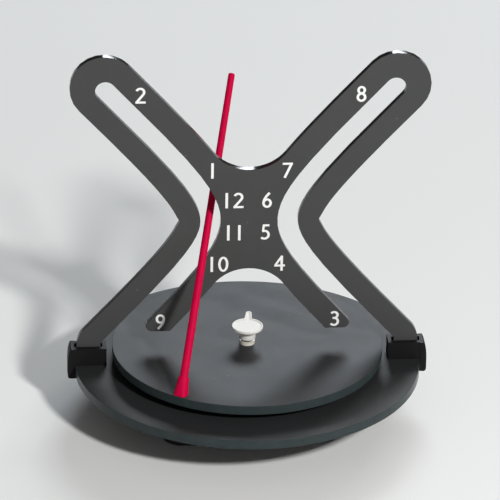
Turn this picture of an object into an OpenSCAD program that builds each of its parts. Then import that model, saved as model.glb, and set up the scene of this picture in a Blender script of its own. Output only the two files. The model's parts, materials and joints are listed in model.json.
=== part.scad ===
// Kinetic desk clock: a leaning pointer on a turntable sweeps through two hyperbola slots in an upright dial.
// Millimetres, +Z up, +Y away from the viewer, origin on the table under the turning axis.

/* [Sheet] */
// Thickness of the acrylic sheet that the two discs are cut from
sheet_t = 3; // [2:0.25:4]
// Thickness of the acrylic sheet that the dial is cut from
dial_t = 2.4; // [2:0.1:3.2]

/* [Base and turntable] */
// Diameter of the base disc
base_d = 110; // [100:1:124]
// Air gap between the turntable's rim and the clips
turntable_clear = 1.9; // [0.5:0.1:3]
// Air gap between the base disc and the turntable
turntable_gap = 2.5; // [2.2:0.1:4]

/* [Dial] */
// Distance of the slots' centre lines from the axis at the waist
waist_r = 12.1; // [11:0.1:13]
// Height of the waist above the base disc
waist_h = 49; // [46:0.5:54]
// Distance from the base's rim to the slots' centre lines, at the level of the base
foot_line = 6.1; // [5.8:0.1:7.2]
// Width of the slots
slot_w = 6.4; // [6.2:0.1:8]
// Height of a slot's upper end above the waist, at the middle of its round end
slot_rise = 44.7; // [40:0.5:48]
// Height of an arm's round end above the waist, at its middle
arm_rise = 45.4; // [41.5:0.1:50]
// Width of the strips inside the slots, above the waist
arm_w = 7.7; // [6:0.1:8]
// Width of the strips inside the slots, below the waist
leg_w = 7.3; // [5:0.1:7.6]
// Width of the strips outside the slots, at the waist
strip_w = 6.6; // [5:0.1:7]
// Width of the strips outside the slots, above and below the waist
strip_end_w = 7.1; // [6:0.1:7.4]
// Radius of the notch between the two arms
notch_r = 14.3; // [10:0.1:18]
// Radius of the arch between the two legs
arch_r = 14; // [12:0.1:18]
// Air gap between the turntable and the ends of the legs
leg_clear = 5.25; // [4.5:0.25:8]
// Corner radius at the outer side of a leg's end
leg_corner_r = 1.8; // [1:0.1:2.4]
// Width of the feet that stand on the base
foot_w = 7.7; // [6.5:0.1:9]
// Play of the feet lengthwise in the clips
foot_play = 0.6; // [0.2:0.1:1]
// Radius where a foot's outer side turns into the strip
foot_corner_r = 8; // [5:0.5:10]

/* [Clips] */
// Height of the clips above the base disc
clip_h = 5.8; // [5:0.2:8]
// Long walls of the clip's pocket
clip_wall = 1.8; // [1.2:0.1:2.2]
// Wall at the inner end of the clip's pocket
clip_end = 1.2; // [1:0.1:2]
// Thickness of the clip's outer wall at the rim
clip_rim_t = 2.2; // [1.6:0.1:3]
// Reach of the clip's hook under the base disc
clip_hook = 5; // [3:0.5:8]
// Thickness of the clip's hook
clip_hook_t = 1.3; // [1:0.1:1.8]
// Clearance of the clip around the sheet
clip_gap = 0.12; // [0.08:0.01:0.25]

/* [Pointer] */
// Lean of the pointer as a share of the slots' spread
lean_share = 0.924; // [0.92:0.001:0.96]
// Distance of the pointer outside the slots' centre lines at the waist
pointer_out = 0.6; // [0:0.1:1]
// Diameter of the pointer at its foot
pointer_d = 2.6; // [2:0.1:3]
// Diameter of the pointer at its tip
pointer_tip_d = 2.1; // [1.6:0.1:2.6]
// Length of the pointer from the turntable to its tip
pointer_len = 105.5; // [90:0.5:108]
// Diameter of the foot sleeve at the turntable
sleeve_d = 4.6; // [4.2:0.1:5.6]
// Diameter of the foot sleeve at its upper end
sleeve_top_d = 3.5; // [3.4:0.1:4.2]
// Length of the foot sleeve along the pointer
sleeve_len = 5.4; // [5:0.2:9]
// Clear rim of the turntable outside the foot sleeve
sleeve_rim = 0.3; // [0.1:0.1:0.8]
// Direction of the pointer's nearest point to the axis, as shown: shortly before eleven
pointer_turn = 164; // [150:1:175]

/* [Setting knob] */
// Diameter of the knob's flange
knob_d = 9.9; // [8:0.1:12]
// Thickness of the knob's flange at its rim
knob_rim_t = 0.8; // [0.6:0.1:1.2]
// Diameter of the knob's hub
knob_hub_d = 5.3; // [4.8:0.1:6]
// Height of the knob's hub
knob_hub_h = 4; // [3:0.1:5]
// Diameter of the finger tip above the flange
knob_tip_d = 2.3; // [1.8:0.1:3]
// Height of the finger tip above the flange
knob_tip_h = 4.9; // [3:0.1:6]
// Air gap between the hour tube and the knob
knob_gap = 0.7; // [0.4:0.1:1.2]

/* [Movement] */
// Side of the square movement case
case_w = 56; // [54:0.5:60]
// Corner radius of the movement case
case_r = 6.2; // [4:0.2:8]
// Wall of the movement case
case_wall = 1.2; // [1:0.1:1.6]
// Diameter of the threaded neck that passes through the base disc
neck_d = 8; // [7.4:0.1:9]
// Thickness of the rubber gasket between the case and the base disc
gasket_t = 0.5; // [0.4:0.1:1]
// Diameter of the rubber gasket
gasket_d = 22; // [16:1:30]
// Diameter of the neck's washer
washer_d = 15; // [14:0.5:17]
// Thickness of the neck's washer
washer_t = 0.4; // [0.3:0.1:0.6]
// Width across the flats of the neck's nut
nut_af = 11; // [10.4:0.2:13]
// Height of the neck's nut
nut_h = 1.4; // [1:0.1:1.5]
// Outer diameter of the hour tube
hour_tube_d = 4.8; // [4.4:0.1:5.2]
// Height of the hour tube above the turntable
hour_tube_rise = 0.9; // [0.5:0.1:1.5]
// Diameter of the minute shaft
minute_shaft_d = 2.8; // [2.6:0.1:3.2]
// Diameter of the battery
battery_d = 10.5; // [9.5:0.1:12]
// Length of the battery's can
battery_len = 43.5; // [40:0.5:45]
// Play of the battery in its bay
bay_play = 0.8; // [0.5:0.1:1.5]

/* [Clearances] */
// Radial clearance of shafts that turn in a hole
run_gap = 0.06; // [0.03:0.01:0.09]
// Radial clearance of pieces that are pushed or glued together
bond_gap = 0.02; // [0.01:0.01:0.04]
// Clearance of covers and plates that drop into a frame
seat_gap = 0.1; // [0.05:0.05:0.2]

/* [Hidden] */
$fn = 96;

// Heights above the table
case_h = battery_d + case_wall + bay_play;
base_z = case_h + gasket_t;
base_top = base_z + sheet_t;
turntable_z = base_top + turntable_gap;
turntable_top = turntable_z + sheet_t;
waist_z = base_top + waist_h;
hour_tube_top = turntable_top + hour_tube_rise;
knob_z = hour_tube_top + knob_gap;
neck_top = base_top + washer_t + nut_h;

// Offsets of the dial's edges from the slots' centre lines
slot_half = slot_w / 2;
arm_off = slot_half + arm_w;
leg_off = slot_half + leg_w;
strip_off = slot_half + strip_w;
foot_off = slot_half + strip_end_w;
base_r = base_d / 2;
foot_out = base_r - foot_play;
foot_in = foot_out - foot_w;
turntable_r = foot_in - foot_play - clip_end - turntable_clear;
// Sideways spread of a slot per unit of height, far from the waist
slot_spread = sqrt(pow(base_r - foot_line, 2) - pow(waist_r, 2)) / waist_h;
leg_end = turntable_top + leg_clear - waist_z;
// Angle above and below the waist over which the outer strip widens
widen_angle = 30;
// Steps along each long edge and round each arc
edge_steps = 16;
arc_steps = 12;

// A slot's centre line is the hyperbola that the leaning pointer sweeps in the plane of the dial
function line_x(z) = sqrt(pow(waist_r, 2) + pow(slot_spread * z, 2));
function line_slope(z) = pow(slot_spread, 2) * z / line_x(z);
function line_norm(z) = sqrt(1 + pow(line_slope(z), 2));
function line_angle(z) = -atan(line_slope(z));
function side_point(z, off) = [line_x(z) + off / line_norm(z), z - off * line_slope(z) / line_norm(z)];
function turn_of(z) = atan(slot_spread * z / waist_r);
function height_of(turn) = waist_r / slot_spread * tan(turn);

// Heights on the centre line whose offset point has a given distance x or height h, below the waist
function z_for_x(x, off, z, n) = n == 0 ? z
    : z_for_x(x, off, -sqrt(pow(x - off / line_norm(z), 2) - pow(waist_r, 2)) / slot_spread, n - 1);
function z_for_h(h, off, z, n) = n == 0 ? z
    : z_for_h(h, off, h + off * line_slope(z) / line_norm(z), n - 1);

// Distance from the waist of the middle of a circle on the axis that touches both edges at an offset
function touch_c(off, r) =
    sqrt((pow(off + r, 2) - pow(waist_r, 2)) * (1 + pow(slot_spread, 2))) / slot_spread;
function touch_z(off, r) = touch_c(off, r) / (1 + pow(slot_spread, 2));

function arc(c, r, a0, a1) = [
    for (i = [0:arc_steps])
        let (a = a0 + (a1 - a0) * i / arc_steps)
        [c[0] + r * cos(a), c[1] + r * sin(a)]
];
function edge(z0, z1, off) = [
    for (i = [1:edge_steps - 1])
        let (turn = turn_of(z0) + (turn_of(z1) - turn_of(z0)) * i / edge_steps)
        side_point(height_of(turn), off)
];
function strip_edge(z0, z1) = [
    for (i = [1:edge_steps * 2 - 1])
        let (turn = turn_of(z0) + (turn_of(z1) - turn_of(z0)) * i / edge_steps / 2)
        let (share = min(1, abs(turn) / widen_angle))
        side_point(height_of(turn), strip_off + (foot_off - strip_off) * pow(share, 2) * (3 - 2 * share))
];

notch_c = touch_c(arm_off, notch_r);
notch_z = touch_z(arm_off, notch_r);
notch_p = side_point(notch_z, -arm_off);
arch_c = touch_c(leg_off, arch_r);
arch_z = -touch_z(leg_off, arch_r);
arch_p = side_point(arch_z, -leg_off);
foot_z = z_for_x(foot_out - foot_corner_r, foot_off - foot_corner_r, -waist_h, 8);
foot_in_z = z_for_x(foot_in, slot_half, -waist_h, 8);
leg_corner_z = z_for_h(leg_end + leg_corner_r, -slot_half - leg_corner_r, leg_end, 8);
leg_in_z = z_for_h(leg_end, -leg_off, leg_end, 8);

half_dial = concat(
    arc([0, notch_c], notch_r, -90, atan2(notch_p[1] - notch_c, notch_p[0])),
    edge(notch_z, arm_rise, -arm_off),
    arc(side_point(arm_rise, (foot_off - arm_off) / 2), (foot_off + arm_off) / 2,
        line_angle(arm_rise) + 180, line_angle(arm_rise)),
    strip_edge(arm_rise, foot_z),
    arc(side_point(foot_z, foot_off - foot_corner_r), foot_corner_r, line_angle(foot_z), 0),
    [[foot_out, -waist_h], [foot_in, -waist_h], side_point(foot_in_z, slot_half)],
    edge(foot_in_z, slot_rise, slot_half),
    arc(side_point(slot_rise, 0), slot_half, line_angle(slot_rise), line_angle(slot_rise) + 180),
    edge(slot_rise, leg_corner_z, -slot_half),
    arc(side_point(leg_corner_z, -slot_half - leg_corner_r), leg_corner_r, line_angle(leg_corner_z), -90),
    [side_point(leg_in_z, -leg_off)],
    edge(leg_in_z, arch_z, -leg_off),
    arc([0, -arch_c], arch_r, atan2(arch_p[1] + arch_c, arch_p[0]), 90)
);
other_half = [for (i = [len(half_dial) - 2:-1:1]) [-half_dial[i][0], half_dial[i][1]]];

// The pointer's line: nearest to the axis at the waist, on the turntable at its foot
pointer_run = turntable_top - waist_z;
pointer_lean = slot_spread * lean_share;
pointer_tilt = atan(pointer_lean);
pointer_r = waist_r + pointer_out;
pointer_foot = [
    pointer_r * cos(pointer_turn) + pointer_lean * pointer_run * sin(pointer_turn),
    pointer_r * sin(pointer_turn) - pointer_lean * pointer_run * cos(pointer_turn),
    turntable_top
];
// Length of the sloping pieces that is cut away at the turntable, and the block that cuts it
pointer_cut = 6;
cut_size = 30;
// Turn of the pointer's round pieces about their own axis, which keeps their seam off the low side of the cut
pointer_seam = 50;

// Clip sizes
clip_half = dial_t / 2 + clip_gap + clip_wall;
clip_in_r = base_r + clip_gap;
clip_out_r = clip_in_r + clip_rim_t;
clip_floor = -sheet_t - clip_gap - clip_hook_t;
pocket_x = foot_in - foot_play;
clip_in_x = pocket_x - clip_end;
clip_angle = asin((clip_half + clip_gap) / clip_in_r);
// How far the outer wall leans in towards its top, and the radius of its lower corner
clip_lean = 1.1;
clip_corner_r = 0.9;

// Gear train: teeth of each wheel and pinion
hour_teeth = 40;
hour_pinion_teeth = 10;
work_teeth = 36;
cannon_teeth = 12;
centre_teeth = 64;
third_teeth = 60;
seconds_teeth = 32;
fifth_teeth = 60;
leaf_teeth = 8;
// Tooth sizes: pitch circle diameter per tooth
fine_m = 0.2;
strong_m = 0.34;
motion_m = 0.25;
motion_dist = motion_m * (work_teeth + cannon_teeth) / 2;
hour_m = 2 * motion_dist / (hour_teeth + hour_pinion_teeth);
// Tooth form: heights in tooth sizes, half widths in tooth pitches
tooth_up = 0.8;
tooth_down = 1.2;
root_half = 0.31;
pitch_half = 0.21;
tip_half = 0.08;

// Directions from each axis to the next
work_dir = 150;
third_dir = -30;
seconds_dir = -100;
fifth_dir = 190;
rotor_dir = 165;

function polar(r, a) = [r * cos(a), r * sin(a)];
function mesh_dist(m, a, b) = m * (a + b) / 2;
work_at = polar(motion_dist, work_dir);
third_at = polar(mesh_dist(fine_m, centre_teeth, leaf_teeth), third_dir);
seconds_at = third_at + polar(mesh_dist(fine_m, third_teeth, leaf_teeth), seconds_dir);
fifth_at = seconds_at + polar(mesh_dist(strong_m, seconds_teeth, leaf_teeth), fifth_dir);
rotor_at = fifth_at + polar(mesh_dist(fine_m, fifth_teeth, leaf_teeth), rotor_dir);
train_axes = [[0, 0], third_at, seconds_at, fifth_at, rotor_at];

// Levels inside the case, from the rear cover up
case_roof = case_h - case_wall;
train_h = case_roof - case_wall;
wheel_t = train_h * 0.06;
leaf_t = train_h * 0.1;
boss_h = train_h * 0.07;
boss_r = 1.2;
arbor_r = 0.4;
centre_arbor_r = 0.5;
pivot_depth = 0.8;
pivot_floor = case_wall + boss_h - pivot_depth;
first_level = train_h * 0.14;
level_step = train_h * 0.13;
level_gap = train_h * 0.03;
fifth_z = case_wall + first_level;
seconds_z = fifth_z + level_step;
third_z = seconds_z + level_step;
centre_z = third_z + level_step;
middle_z = centre_z + wheel_t + level_gap;
middle_t = train_h * 0.05;
middle_top = middle_z + middle_t;
cannon_z = middle_top + level_gap;
cannon_h = train_h * 0.12;
work_inset = 0.1;
hour_z = cannon_z + cannon_h + level_gap;
hour_t = train_h * 0.1;
shaft_grip = 0.65;
shaft_top = knob_z + knob_hub_h * shaft_grip;
post_r = 1.2;
middle_size = [27, 27];
middle_at = [0.5, -5.5];
post_inset = 1.6;
cover_post_r = 1.5;
cover_post_inset = 3;

// Battery bay along the far side of the case
case_in = case_w / 2 - case_wall;
bay_wall = 1;
bay_w = battery_d + 2 * bay_play;
bay_y = case_in - bay_w;
battery_y = case_in - bay_w / 2;
battery_z = case_roof - seat_gap - battery_d / 2;
terminal_r = 1.9;
terminal_h = 1;
battery_half = (battery_len + terminal_h) / 2;
spring_room = (case_in - battery_half) * 0.4;
bay_end = battery_half + spring_room;
cover_y = bay_y - bay_wall;
contact_t = 0.4;
contact_size = [9, 8.6];
contact_boss_r = 2.6;
contact_tip_r = 1.6;

// Motor and circuit
rotor_r = 2.4;
rotor_h = train_h * 0.15;
rotor_z = seconds_z;
air_gap = 0.5;
stator_t = train_h * 0.08;
stator_z = rotor_z + level_gap;
eye_r = 4.7;
yoke_w = 2.6;
coil_inset = 5.8;
coil_x = coil_inset - case_in;
coil_y = -10;
coil_len = 12;
coil_r = 3;
flange_r = 3.4;
flange_t = 0.8;
core_w = 2.4;
core_t = stator_t;
core_len = 21;
core_z = stator_z + stator_t;
board_gap = 1;
board_w = 9.5;
board_at = [case_in - board_gap - board_w, cover_post_inset + cover_post_r + board_gap - case_in];
board_end = cover_y - cover_post_inset - cover_post_r - board_gap;
board_size = [board_w, board_end - board_at[1], 0.8];
board_z = first_level + case_wall;
peg_r = 1;
peg_inset = 2;
chip_r = 3;
chip_h = 0.8;
crystal_r = 1;
crystal_len = 6;

module sheet_disc(r, bore_r) {
    difference() {
        cylinder(r = r, h = sheet_t);
        translate([0, 0, -1]) cylinder(r = bore_r, h = sheet_t + 2);
    }
}

// Cuts away what would lie inside the turntable
module on_turntable() {
    difference() {
        children();
        translate(pointer_foot - [cut_size / 2, cut_size / 2, cut_size]) cube(cut_size);
    }
}

// Stands its children on the pointer's line, with +Z along the pointer
module along_pointer() {
    translate(pointer_foot) rotate([0, pointer_tilt, pointer_turn - 90]) rotate(pointer_seam) children();
}

module gear(teeth, m, phase, h) {
    step = 360 / teeth;
    root = m * (teeth / 2 - tooth_down);
    pitch = m * teeth / 2;
    tip = m * (teeth / 2 + tooth_up);
    flank = [[root, -root_half], [pitch, -pitch_half], [tip, -tip_half],
             [tip, tip_half], [pitch, pitch_half], [root, root_half]];
    outline = [for (i = [0:teeth - 1]) for (p = flank) polar(p[0], phase + (i + p[1]) * step)];
    linear_extrude(h) polygon(outline);
}

// A wheel has a tooth, and the leaf pinion it meets a gap, on the line between their axes
function wheel_phase(dir) = dir;
function leaf_phase(dir, teeth) = dir + 180 + 180 / teeth;

module arbor(at, z0, z1, r = arbor_r) {
    translate([at[0], at[1], z0]) cylinder(r = r, h = z1 - z0, $fn = 32);
}

module rounded_block(w, r, h) {
    linear_extrude(h) union() {
        square([w, w - 2 * r], center = true);
        square([w - 2 * r, w], center = true);
        for (x = [-1, 1]) for (y = [-1, 1]) translate([x, y] * (w / 2 - r)) circle(r);
    }
}

module base_disc() {
    color("#3b3d3f") translate([0, 0, base_z]) sheet_disc(base_r, neck_d / 2 + seat_gap);
}

module turntable_disc() {
    color("#4c4f52") translate([0, 0, turntable_z]) sheet_disc(turntable_r, hour_tube_d / 2 + bond_gap);
}

module dial_plate() {
    color("#454646") translate([0, 0, waist_z]) rotate([90, 0, 0])
        linear_extrude(dial_t, center = true) polygon(concat(half_dial, other_half));
}

// Pocket for a dial foot, with an outer wall that hooks under the rim of the base
module clip() {
    corner = [clip_out_r - clip_corner_r, clip_floor + clip_corner_r];
    translate([0, 0, base_top]) {
        difference() {
            translate([clip_in_x, -clip_half, 0])
                cube([clip_in_r + clip_rim_t / 3 - clip_in_x, 2 * clip_half, clip_h]);
            translate([pocket_x, -dial_t / 2 - clip_gap, -1])
                cube([clip_in_r + clip_gap - pocket_x, dial_t + 2 * clip_gap, clip_h + 2]);
        }
        rotate([0, 0, -clip_angle]) rotate_extrude(angle = 2 * clip_angle) polygon(concat(
            [[base_r - clip_hook, clip_floor]],
            [for (a = [-90:18:0]) corner + polar(clip_corner_r, a)],
            [for (a = [0:15:90]) [clip_out_r - clip_lean * (1 - cos(a)), clip_h * sin(a)]],
            [[clip_in_r, clip_h], [clip_in_r, -sheet_t - clip_gap], [base_r - clip_hook, -sheet_t - clip_gap]]
        ));
    }
}

module right_clip() {
    color("#1a1a1c") clip();
}

module left_clip() {
    color("#1a1a1c") mirror([1, 0, 0]) clip();
}

module pointer_rod() {
    r = pointer_d / 2;
    tip_r = pointer_tip_d / 2;
    profile = concat(
        [[0, -pointer_cut], [r, -pointer_cut], [r, sleeve_len]],
        [for (a = [0:15:90]) [tip_r * cos(a), pointer_len - tip_r + tip_r * sin(a)]]
    );
    color("#cf0c48") on_turntable() along_pointer() rotate_extrude() polygon(profile);
}

// Slender at its upper end, with a skirt that flares down to the turntable
module pointer_sleeve() {
    bore = pointer_d / 2 + bond_gap;
    top_r = sleeve_top_d / 2;
    skirt_h = sleeve_len * 0.55;
    skirt_r = top_r + (sleeve_d / 2 - top_r) * 0.2;
    skirt_slope = (sleeve_d / 2 - skirt_r) / skirt_h;
    color("#c80b44") intersection() {
        on_turntable() along_pointer() rotate_extrude() polygon([
            [bore, -pointer_cut],
            [sleeve_d / 2 + skirt_slope * pointer_cut, -pointer_cut],
            [skirt_r, skirt_h],
            [top_r, sleeve_len],
            [bore, sleeve_len]
        ]);
        translate([0, 0, turntable_z]) cylinder(r = turntable_r - sleeve_rim, h = cut_size);
    }
}

module setting_knob() {
    bore = minute_shaft_d / 2 + bond_gap;
    bore_h = shaft_top - knob_z + seat_gap;
    hub = knob_hub_d / 2;
    rim = knob_d / 2;
    tip = knob_tip_d / 2;
    top = knob_hub_h + knob_rim_t;
    color("#ecebe4") translate([0, 0, knob_z]) rotate_extrude() polygon(concat(
        [[bore, 0], [hub, 0], [hub, knob_hub_h - 0.9], [hub + 0.6, knob_hub_h - 0.1], [rim - 0.4, knob_hub_h],
         [rim, knob_hub_h + 0.25], [rim, top - 0.2], [rim - 0.2, top], [rim - 0.6, top],
         [rim - 0.9, top - 0.15], [tip + 1.4, top], [tip + 0.3, top + 0.5], [tip, top + 1]],
        [for (a = [0:18:90]) [tip * (0.45 + 0.4 * cos(a)), top + knob_tip_h - 0.5 + 0.5 * sin(a)]],
        [[0, top + knob_tip_h], [0, bore_h], [bore, bore_h]]
    ));
}

module movement_case() {
    color("#161617") difference() {
        union() {
            difference() {
                rounded_block(case_w, case_r, case_h);
                translate([0, 0, -1]) rounded_block(2 * case_in, case_r - case_wall, case_roof + 1);
            }
            translate([0, 0, case_roof]) cylinder(d = neck_d, h = neck_top - case_roof);
            translate([-case_in - bay_wall / 2, cover_y, 0])
                cube([2 * case_in + bay_wall, bay_wall, case_h - case_wall / 2]);
            for (s = [-1, 1])
                translate([s * (bay_end + bay_wall / 2) - bay_wall / 2, cover_y, 0])
                    cube([bay_wall, bay_w + bay_wall + case_wall / 2, case_h - case_wall / 2]);
            for (x = [-1, 1]) for (y = [-1, 1])
                translate([middle_at[0] + x * (middle_size[0] / 2 - post_inset),
                           middle_at[1] + y * (middle_size[1] / 2 - post_inset), middle_top])
                    cylinder(r = post_r, h = case_h - case_wall / 2 - middle_top);
            for (x = [-1, 1]) for (y = [cover_post_inset - case_in, cover_y - cover_post_inset])
                translate([x * (case_in - cover_post_inset), y, case_wall])
                    cylinder(r = cover_post_r, h = case_h - 1.5 * case_wall);
        }
        translate([0, 0, case_roof - 1]) cylinder(d = hour_tube_d + 2 * run_gap, h = neck_top);
        arbor(work_at, case_roof - 1, case_roof + pivot_depth, arbor_r + run_gap);
    }
}

// Closes the movement's side of the case; its bosses carry the lower pivots of the train
module rear_cover() {
    w = 2 * (case_in - seat_gap);
    color("#141415") difference() {
        union() {
            intersection() {
                rounded_block(w, case_r - case_wall, case_wall);
                translate([-w, -w, -1]) cube([2 * w, w + cover_y - seat_gap, case_wall + 2]);
            }
            for (at = train_axes)
                translate([at[0], at[1], case_wall / 2]) cylinder(r = boss_r, h = case_wall / 2 + boss_h);
            for (y = [peg_inset, board_size[1] - peg_inset])
                translate([board_at[0] + board_size[0] / 2, board_at[1] + y, case_wall / 2])
                    cylinder(r = peg_r, h = board_z - case_wall / 2);
            for (s = [-1, 1])
                translate([rotor_at[0], rotor_at[1] + s * (eye_r + rotor_r + air_gap) / 2, case_wall / 2])
                    cylinder(r = peg_r / 2, h = stator_z - case_wall / 2);
        }
        arbor([0, 0], pivot_floor, case_h, centre_arbor_r + run_gap);
        for (at = [third_at, seconds_at, fifth_at, rotor_at])
            arbor(at, pivot_floor, case_h, arbor_r + run_gap);
    }
}

module flat_ring(d, bore_d, z, h) {
    translate([0, 0, z]) difference() {
        cylinder(d = d, h = h);
        translate([0, 0, -1]) cylinder(d = bore_d, h = h + 2);
    }
}

module case_gasket() {
    color("#222222") flat_ring(gasket_d, neck_d + 2 * seat_gap, case_h, gasket_t);
}

module neck_washer() {
    color("#b9a24c") flat_ring(washer_d, neck_d + 2 * seat_gap, base_top, washer_t);
}

module neck_nut() {
    color("#c2a84f") translate([0, 0, base_top + washer_t]) difference() {
        cylinder(d = nut_af / cos(30), h = nut_h, $fn = 6);
        translate([0, 0, -1]) cylinder(d = neck_d + 2 * run_gap, h = nut_h + 2);
    }
}

// Carries the upper pivots of the train and the lower pivot of the work wheel
module middle_plate() {
    color("#2c4a36") difference() {
        translate([middle_at[0] - middle_size[0] / 2, middle_at[1] - middle_size[1] / 2, middle_z])
            cube([middle_size[0], middle_size[1], middle_t]);
        arbor([0, 0], middle_z - 1, middle_top + 1, centre_arbor_r + run_gap);
        for (at = [third_at, seconds_at, fifth_at, rotor_at, work_at])
            arbor(at, middle_z - 1, middle_top + 1, arbor_r + run_gap);
    }
}

module hour_wheel() {
    color("#e9e7df") difference() {
        union() {
            translate([0, 0, hour_z]) gear(hour_teeth, hour_m, wheel_phase(work_dir), hour_t);
            translate([0, 0, hour_z + hour_t / 2])
                cylinder(d = hour_tube_d, h = hour_tube_top - hour_z - hour_t / 2);
        }
        translate([0, 0, hour_z - 1]) cylinder(d = minute_shaft_d + 2 * run_gap, h = hour_tube_top);
    }
}

module work_wheel() {
    pinion_z = cannon_z + cannon_h / 2;
    pinion_h = hour_z + hour_t - pinion_z;
    color("#d9d4c4") union() {
        translate([work_at[0], work_at[1], cannon_z + work_inset])
            gear(work_teeth, motion_m, leaf_phase(work_dir, work_teeth), cannon_h - 2 * work_inset);
        translate([work_at[0], work_at[1], pinion_z])
            gear(hour_pinion_teeth, hour_m, leaf_phase(work_dir, hour_pinion_teeth), pinion_h);
        arbor(work_at, middle_z, case_roof + pivot_depth - seat_gap);
    }
}

module cannon_pinion() {
    color("#cdb264") difference() {
        union() {
            translate([0, 0, cannon_z]) gear(cannon_teeth, motion_m, wheel_phase(work_dir), cannon_h);
            translate([0, 0, cannon_z + cannon_h / 2])
                cylinder(d = minute_shaft_d, h = shaft_top - cannon_z - cannon_h / 2);
        }
        arbor([0, 0], cannon_z - 1, base_z + seat_gap, centre_arbor_r + run_gap);
    }
}

// The centre wheel's post carries the cannon pinion, which slips on it while the clock is set by hand
module centre_wheel() {
    color("#d8d3c2") union() {
        translate([0, 0, centre_z]) gear(centre_teeth, fine_m, wheel_phase(third_dir), wheel_t);
        arbor([0, 0], pivot_floor + seat_gap, base_z, centre_arbor_r);
    }
}

// A wheel with its pinion on one arbor, between the rear cover and the middle plate
module train_wheel(at, teeth, m, phase, z, pinion_m, pinion_phase, pinion_z) {
    translate([at[0], at[1], z]) gear(teeth, m, phase, wheel_t);
    translate([at[0], at[1], pinion_z - (leaf_t - wheel_t) / 2])
        gear(leaf_teeth, pinion_m, pinion_phase, leaf_t);
    arbor(at, pivot_floor + seat_gap, middle_top);
}

module third_wheel() {
    color("#d8d3c2") train_wheel(third_at, third_teeth, fine_m, wheel_phase(seconds_dir), third_z,
        fine_m, leaf_phase(third_dir, leaf_teeth), centre_z);
}

module seconds_wheel() {
    color("#d8d3c2") train_wheel(seconds_at, seconds_teeth, strong_m, wheel_phase(fifth_dir), seconds_z,
        fine_m, leaf_phase(seconds_dir, leaf_teeth), third_z);
}

module fifth_wheel() {
    color("#d8d3c2") train_wheel(fifth_at, fifth_teeth, fine_m, wheel_phase(rotor_dir), fifth_z,
        strong_m, leaf_phase(fifth_dir, leaf_teeth), seconds_z);
}

module rotor() {
    color("#55585c") union() {
        translate([rotor_at[0], rotor_at[1], rotor_z]) cylinder(r = rotor_r, h = rotor_h);
        translate([rotor_at[0], rotor_at[1], fifth_z - (leaf_t - wheel_t) / 2])
            gear(leaf_teeth, fine_m, leaf_phase(rotor_dir, leaf_teeth), leaf_t);
        arbor(rotor_at, pivot_floor + seat_gap, middle_top);
    }
}

// Soft iron yoke: an eye round the rotor and two arms to the ends of the coil's core
module stator() {
    eye_y = (eye_r + rotor_r + air_gap) / 2;
    color("#8c9094") translate([0, 0, stator_z]) linear_extrude(stator_t) difference() {
        union() {
            translate(rotor_at) circle(eye_r);
            for (s = [-1, 1]) {
                end = [coil_x, coil_y + s * (core_len - core_w) / 2];
                run = rotor_at + [0, s * eye_y] - end;
                translate(end) circle(yoke_w / 2);
                translate(end) rotate(atan2(run[1], run[0])) translate([0, -yoke_w / 2])
                    square([norm(run), yoke_w]);
            }
        }
        translate(rotor_at) circle(rotor_r + air_gap);
    }
}

module coil() {
    color("#b06a34") union() {
        translate([coil_x - core_w / 2, coil_y - core_len / 2, core_z]) cube([core_w, core_len, core_t]);
        translate([coil_x, coil_y - coil_len / 2, core_z + core_t / 2]) rotate([-90, 0, 0]) {
            cylinder(r = coil_r, h = coil_len);
            cylinder(r = flange_r, h = flange_t);
            translate([0, 0, coil_len - flange_t]) cylinder(r = flange_r, h = flange_t);
        }
    }
}

module circuit_board() {
    color("#2f5b3a") translate([board_at[0], board_at[1], board_z]) union() {
        cube(board_size);
        translate([board_size[0] / 2, board_size[1] * 0.7, board_size[2] / 2])
            cylinder(r = chip_r, h = board_size[2] / 2 + chip_h);
    }
}

module crystal() {
    at = [board_at[0] + board_size[0] / 2, board_at[1] + 3];
    color("#c9ccd0") translate([at[0], at[1], board_z + board_size[2] + crystal_r]) rotate([-90, 0, 0])
        cylinder(r = crystal_r, h = crystal_len);
}

module battery() {
    color("#3e5f86") translate([-battery_half, battery_y, battery_z]) rotate([0, 90, 0]) union() {
        cylinder(d = battery_d, h = battery_len);
        cylinder(r = terminal_r, h = battery_len + terminal_h);
    }
}

// Sprung leaf on the bay's end wall, with a pressed boss that reaches the battery
module contact(side) {
    translate([side * bay_end, battery_y, battery_z]) rotate([0, -side * 90, 0]) union() {
        translate([-contact_size[1] / 2, -contact_size[0] / 2, 0])
            cube([contact_size[1], contact_size[0], contact_t]);
        cylinder(r1 = contact_boss_r, r2 = contact_tip_r, h = spring_room);
    }
}

module contact_positive() {
    color("#c8cacc") contact(1);
}

module contact_negative() {
    color("#c8cacc") contact(-1);
}

base_disc();
turntable_disc();
dial_plate();
left_clip();
right_clip();
pointer_rod();
pointer_sleeve();
setting_knob();
movement_case();
rear_cover();
case_gasket();
neck_washer();
neck_nut();
middle_plate();
hour_wheel();
work_wheel();
cannon_pinion();
centre_wheel();
third_wheel();
seconds_wheel();
fifth_wheel();
rotor();
stator();
coil();
circuit_board();
crystal();
battery();
contact_positive();
contact_negative();
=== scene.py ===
"""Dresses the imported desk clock: its visible pieces, its finishes and a plain studio."""
import json
import math

import bmesh
import bpy
from bpy.props import FloatProperty, FloatVectorProperty, IntProperty, PointerProperty
from bpy.types import Operator, Panel, PropertyGroup
from mathutils import Matrix, Vector
from mathutils.geometry import delaunay_2d_cdt

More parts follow.
